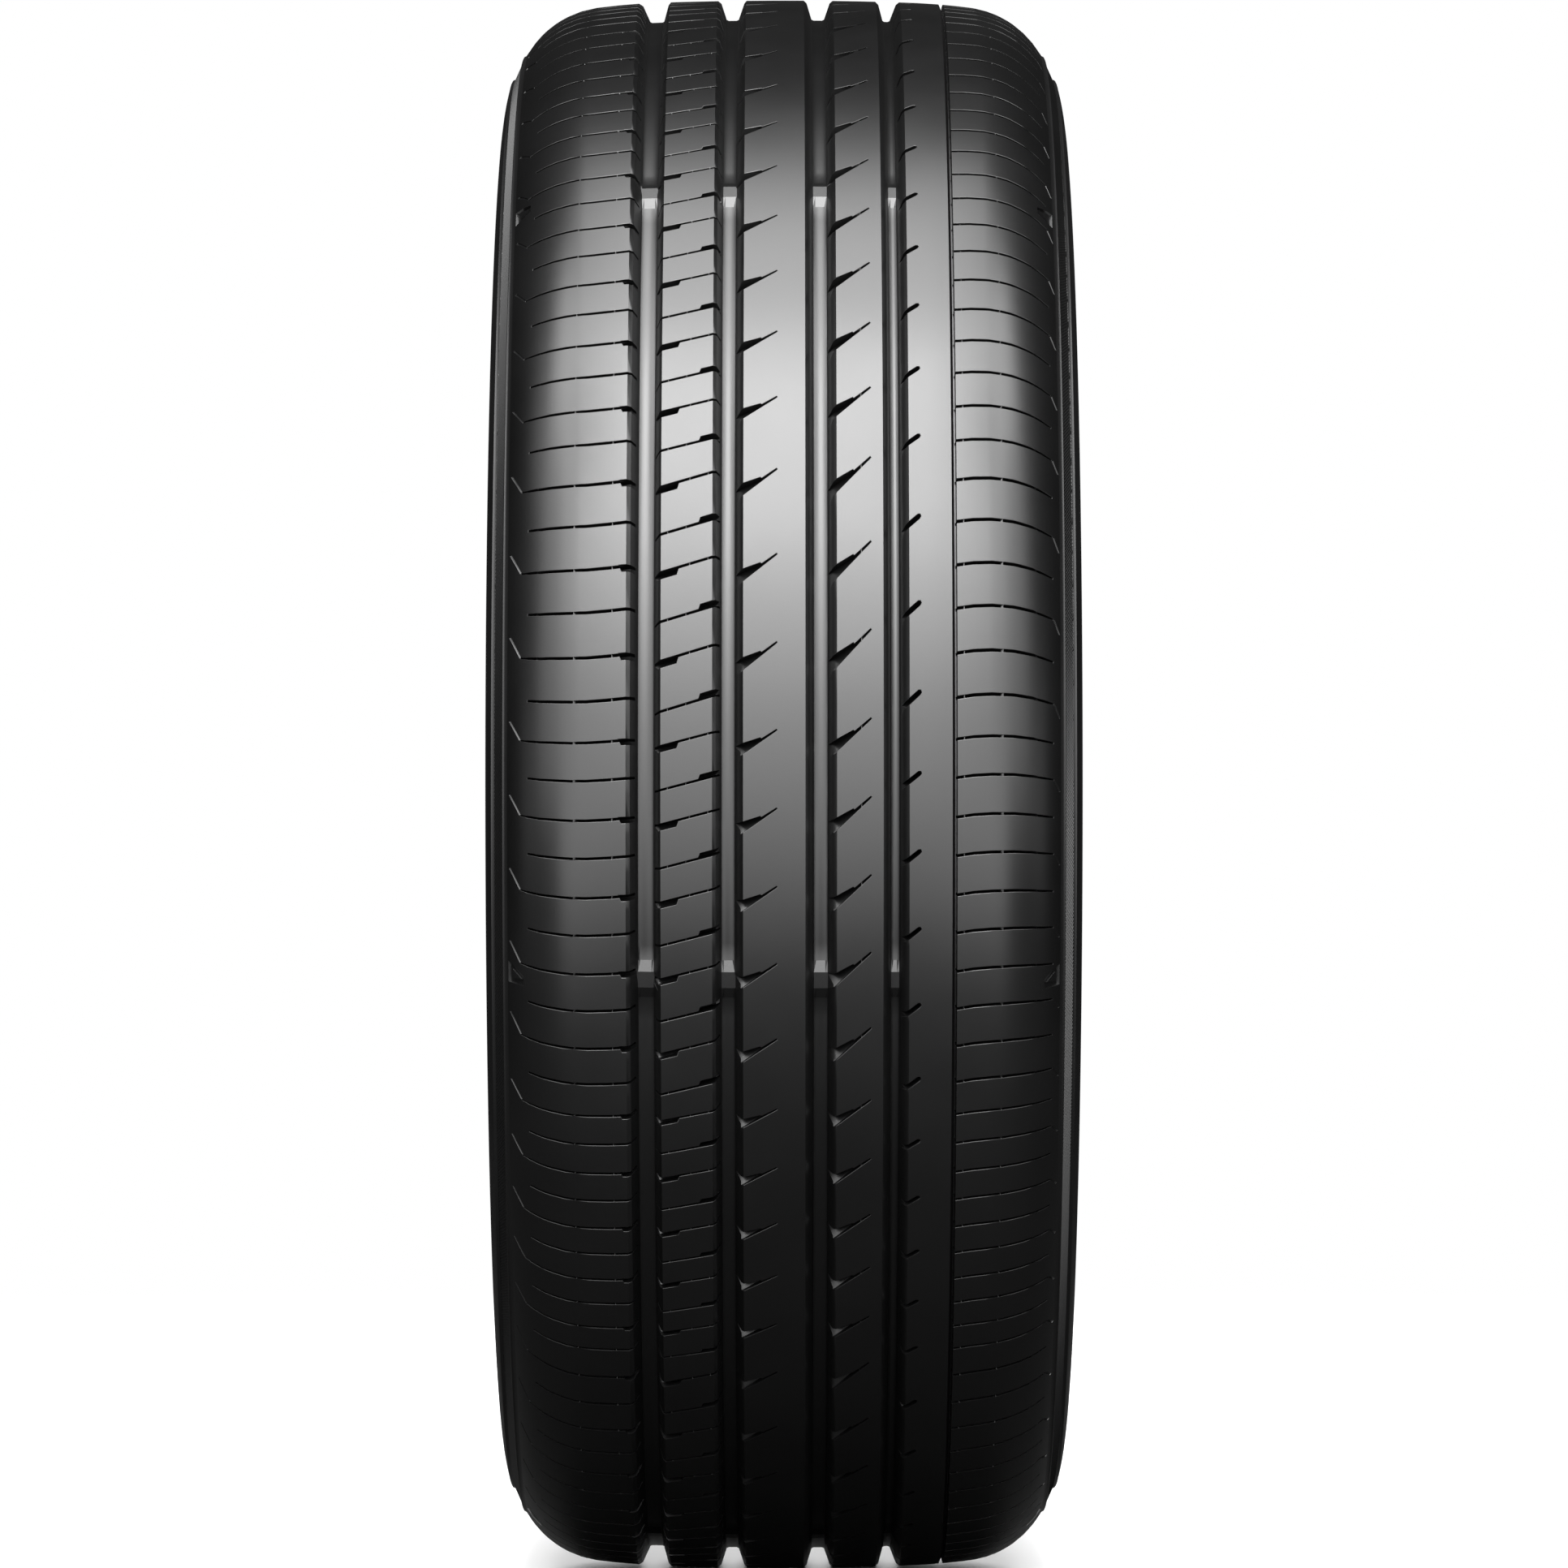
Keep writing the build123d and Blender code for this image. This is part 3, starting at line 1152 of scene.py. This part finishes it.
@dataclass
class Tyre:
    """The whole tyre as one closed skin.

    Args:
        sharp_angle: The angle between faces from which an edge is shaded sharp, in degrees.
        merge_distance: How close points have to lie to be made one.
        sliver_length: The length up to which an edge is taken out.
        least_bar_depth: The depth from which faces at a wear bar's angle belong to the bar.
        band_margin: How far beyond the ridged band's ends its faces may reach.
        level_margin: How far points may lie off a rib's face or a tie's top.
        smooth_tie_limit: The distance across the tread up to which ties are shaded by the crown.
    """

    tread: TreadPattern = field(default_factory=TreadPattern)
    carcass: Carcass = field(default_factory=Carcass)
    sharp_angle: float = 32.0
    merge_distance: float = 0.012
    sliver_length: float = 0.002
    least_bar_depth: float = 5.0
    band_margin: float = 0.2
    level_margin: float = 0.012
    smooth_tie_limit: float = 90.0

    def build(self) -> bpy.types.Object:
        """Joins the tread to the carcass and makes the mesh.

        Returns:
            The tyre's object, in metres.
        """
        tread_points, triangles = self.tread.build()
        ring_points, ring_faces, zones = self.carcass.build(self.tread.column_angles())
        points = np.concatenate([tread_points, ring_points]) * MM
        first = len(tread_points)
        faces = triangles.tolist() + [[first + point for point in face] for face in ring_faces]
        mesh = bpy.data.meshes.new("tyre_skin")
        mesh.from_pydata(points.tolist(), [], faces)
        slots = np.concatenate([np.full(len(triangles), Zone.TREAD.value), zones])
        mesh.polygons.foreach_set("material_index", slots.astype(np.int32))
        skin = bmesh.new()
        skin.from_mesh(mesh)
        bmesh.ops.remove_doubles(skin, verts=skin.verts, dist=self.merge_distance * MM)
        bmesh.ops.dissolve_degenerate(skin, edges=skin.edges, dist=self.sliver_length * MM)
        skin.to_mesh(mesh)
        open_edges = sum(1 for edge in skin.edges if len(edge.link_faces) != 2)
        skin.free()
        mesh.shade_smooth()
        mesh.set_sharp_from_angle(angle=math.radians(self.sharp_angle))
        self.set_normals(mesh)
        mesh.calc_loop_triangles()
        log.info("tyre_skin: %d triangles, %d open edges", len(mesh.loop_triangles), open_edges)
        return new_object("tyre_skin", mesh)

    def set_normals(self, mesh: bpy.types.Mesh) -> None:
        """Shades the ribs' faces and the ties' tops by the crown's curve, and wear bars and ridges flat.

        Args:
            mesh: The skin's mesh, in metres.
        """
        places = read_all(mesh.vertices, "co", float, 3) / MM
        reach = np.hypot(places[:, 0], places[:, 2])
        surface, slope = self.tread.crown.at(places[:, 1])
        outward = np.stack([places[:, 0] / reach, np.tan(slope), places[:, 2] / reach], axis=1)
        outward /= np.linalg.norm(outward, axis=1)[:, None]
        corners = read_all(mesh.loops, "vertex_index", np.int32)
        totals = read_all(mesh.polygons, "loop_total", np.int32)
        slots = read_all(mesh.polygons, "material_index", np.int32)
        facing = read_all(mesh.polygons, "normal", float, 3)
        starts = np.concatenate([[0], np.cumsum(totals)[:-1]])

        def loops_of(chosen: np.ndarray, zone: Zone) -> np.ndarray:
            """Finds the loops of a zone's faces whose points are all chosen."""
            whole = np.add.reduceat(chosen[corners].astype(int), starts) == totals
            return np.repeat(whole & (slots == zone.value), totals)[:, None]

        turns = np.degrees(np.arctan2(places[:, 2], places[:, 0]))
        on_bar = (surface - reach > self.least_bar_depth) & self.tread.near_bar(turns)
        outside = np.abs(places[:, 1])
        start, end = self.carcass.edge_rib[-1], self.carcass.band_end
        in_band = (outside > start[0] - self.band_margin) & (outside < end[0] + self.band_margin)
        in_band &= (reach > end[1] - self.band_margin) & (reach < start[1] + self.band_margin)
        is_flat = loops_of(on_bar, Zone.TREAD) | loops_of(in_band, Zone.SIDEWALL)
        flat = np.where(is_flat, np.repeat(facing, totals, axis=0), 0.0)
        on_rib = np.abs(reach - surface) < self.level_margin
        on_tie = np.abs((surface - reach) * np.cos(slope) - TIE_DEPTH) < self.level_margin
        on_tie &= outside < self.smooth_tie_limit
        by_crown = loops_of(on_rib, Zone.TREAD) | on_tie[corners][:, None]
        mesh.normals_split_custom_set(np.where(by_crown, outward[corners], flat).tolist())

    def dress(self, tyre: bpy.types.Object) -> None:
        """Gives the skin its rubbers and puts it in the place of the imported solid.

        Args:
            tyre: The skin's object.
        """
        for rubber in (TREAD_RUBBER, SIDEWALL_RUBBER, LINER_RUBBER):
            tyre.data.materials.append(rubber.material())
        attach(tyre, BODY)
        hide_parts(NODE)


@dataclass(frozen=True)
class LightColumn:
    """A column of soft studio panels that are aimed at the tyre.

    Args:
        name: The panels' name.
        azimuth: Where the column stands round the tyre, from +X towards +Y.
        size: A panel's width and height, in metres.
        panels: Each panel's elevation, and its power in watts.
        paired: Whether a twin stands on the other side of the tyre.
        distance: How far the panels stand from the tyre's centre, in metres.
    """

    name: str
    azimuth: float
    size: Point
    panels: Points
    paired: bool = False
    distance: float = 2.0

    def build(self) -> None:
        """Makes the panels, and their twins if they have them."""
        for elevation, power in self.panels:
            light = bpy.data.lights.new(self.name, "AREA")
            light.shape = "RECTANGLE"
            light.size, light.size_y = self.size
            light.energy = power
            lift = math.radians(elevation)
            for azimuth in (self.azimuth, -self.azimuth) if self.paired else (self.azimuth,):
                turn = math.radians(azimuth)
                holder = new_object(self.name, light)
                holder.location = self.distance * Vector(
                    (math.cos(turn) * math.cos(lift), math.sin(turn) * math.cos(lift), math.sin(lift))
                )
                holder.rotation_euler = (-holder.location).to_track_quat("-Z", "Y").to_euler()


@dataclass
class Studio:
    """The pale floor, the soft light and the camera in front of the tread, in metres.

    Args:
        fade_start: How far from the tyre the floor starts to fade into the backdrop.
        fade_end: Where the floor has faded out.
        floor_tones: The floor's darkest and palest tone.
        floor_bounce: How much of the floor's tone lights the tyre.
        backdrop: How bright the backdrop looks to the camera.
        ambient: How much the backdrop lights the tyre.
    """

    floor_level: float = -0.3173
    floor_radius: float = 2.4
    floor_corners: int = 96
    fade_start: float = 0.55
    fade_end: float = 1.85
    floor_tones: Point = (0.8, 0.86)
    floor_bounce: float = 0.003
    camera_distance: float = 3.321
    focal_length: float = 187.5
    backdrop: float = 1.0
    ambient: float = 0.005
    lights: tuple[LightColumn, ...] = (
        LightColumn("front", 0.0, (0.85, 0.56), ((-10.0, 3.0), (6.0, 5.6), (22.0, 10.8))),
        LightColumn("key", 0.0, (0.85, 0.56), ((38.0, 19.3), (54.0, 22.5), (70.0, 8.0), (86.0, 5.0))),
        LightColumn("flank", 24.0, (0.85, 0.77), ((-14.0, 5.6), (8.0, 5.8), (30.0, 10.0)), paired=True),
        LightColumn("wing_low", 48.0, (0.85, 0.77), ((8.0, 3.5), (30.0, 5.1)), paired=True),
        LightColumn("wing_high", 48.0, (0.85, 0.77), ((52.0, 14.0), (74.0, 4.3)), paired=True),
        LightColumn("right_side", 72.0, (0.6, 0.6), ((0.0, 0.8), (35.0, 0.3))),
        LightColumn("left_side", -72.0, (0.6, 0.6), ((0.0, 0.55), (35.0, 1.2))),
        LightColumn("back_light", 180.0, (0.3, 0.3), ((-2.0, 40.0),)),
    )

    def build_floor(self) -> None:
        """Lays a round floor under the tyre, which fades out into the white backdrop."""
        turns = [2.0 * math.pi * corner / self.floor_corners for corner in range(self.floor_corners)]
        rim = [(self.floor_radius * math.cos(turn), self.floor_radius * math.sin(turn)) for turn in turns]
        mesh = bpy.data.meshes.new("floor")
        mesh.from_pydata([(x, y, self.floor_level) for x, y in rim], [], [tuple(range(len(rim)))])
        floor = new_object("floor", mesh)
        material = bpy.data.materials.new("pale_floor")
        material.use_nodes = True
        nodes = NodeTree(material.node_tree)
        place = nodes.add("ShaderNodeTexCoord").outputs["Object"]
        noise = nodes.add("ShaderNodeTexNoise", Vector=place, Scale=3.0, Detail=3.0).outputs["Fac"]
        darkest, palest = self.floor_tones
        tone = nodes.add("ShaderNodeMapRange", Value=noise, To_Min=darkest, To_Max=palest)
        by_camera = nodes.add("ShaderNodeLightPath").outputs["Is Camera Ray"]
        seen = nodes.math("MULTIPLY_ADD", by_camera, 1.0 - self.floor_bounce, self.floor_bounce)
        away = nodes.add("ShaderNodeVectorMath", operation="LENGTH", Vector=place).outputs["Value"]
        fade = nodes.add(
            "ShaderNodeMapRange", interpolation_type="SMOOTHSTEP", Value=away,
            From_Min=self.fade_start, From_Max=self.fade_end, To_Min=1.0, To_Max=0.0,
        )
        surface = nodes.add(
            "ShaderNodeBsdfPrincipled",
            Base_Color=nodes.math("MULTIPLY", tone.outputs["Result"], seen),
            Roughness=0.8,
            Alpha=fade.outputs["Result"],
        )
        nodes.add("ShaderNodeOutputMaterial", Surface=surface.outputs["BSDF"])
        mesh.materials.append(material)

    def build_world(self) -> None:
        """Makes a white backdrop that lights the tyre only a little."""
        world = bpy.data.worlds.new("studio")
        world.use_nodes = True
        bpy.context.scene.world = world
        nodes = NodeTree(world.node_tree)
        by_camera = nodes.add("ShaderNodeLightPath").outputs["Is Camera Ray"]
        lit = nodes.add("ShaderNodeBackground", Color=WHITE, Strength=self.ambient).outputs["Background"]
        seen = nodes.add("ShaderNodeBackground", Color=WHITE, Strength=self.backdrop).outputs["Background"]
        blend = nodes.fill(nodes.add("ShaderNodeMixShader"), by_camera, lit, seen)
        nodes.add("ShaderNodeOutputWorld", Surface=blend)

    def build_camera(self) -> None:
        """Sets the camera square to the tread, at the height of the axle."""
        lens = bpy.data.cameras.new("camera")
        lens.sensor_width = 36.0
        lens.lens = self.focal_length
        camera = new_object("camera", lens)
        camera.location = (self.camera_distance, 0.0, 0.0)
        camera.rotation_euler = (math.radians(90.0), 0.0, math.radians(90.0))
        bpy.context.scene.camera = camera

    def build(self) -> None:
        """Sets up the whole studio."""
        self.build_floor()
        self.build_world()
        for light in self.lights:
            light.build()
        self.build_camera()
        view = bpy.context.scene.view_settings
        view.view_transform = "Standard"
        view.look = "None"


def main() -> None:
    """Builds the tyre and the studio in order."""
    logging.basicConfig(level=logging.INFO, format="%(name)s: %(message)s")
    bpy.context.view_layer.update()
    tyre = Tyre()
    skin = tyre.build()
    tyre.dress(skin)
    Studio().build()
    log.info("studio: floor, lights and camera set")


if __name__ == "__main__":
    main()
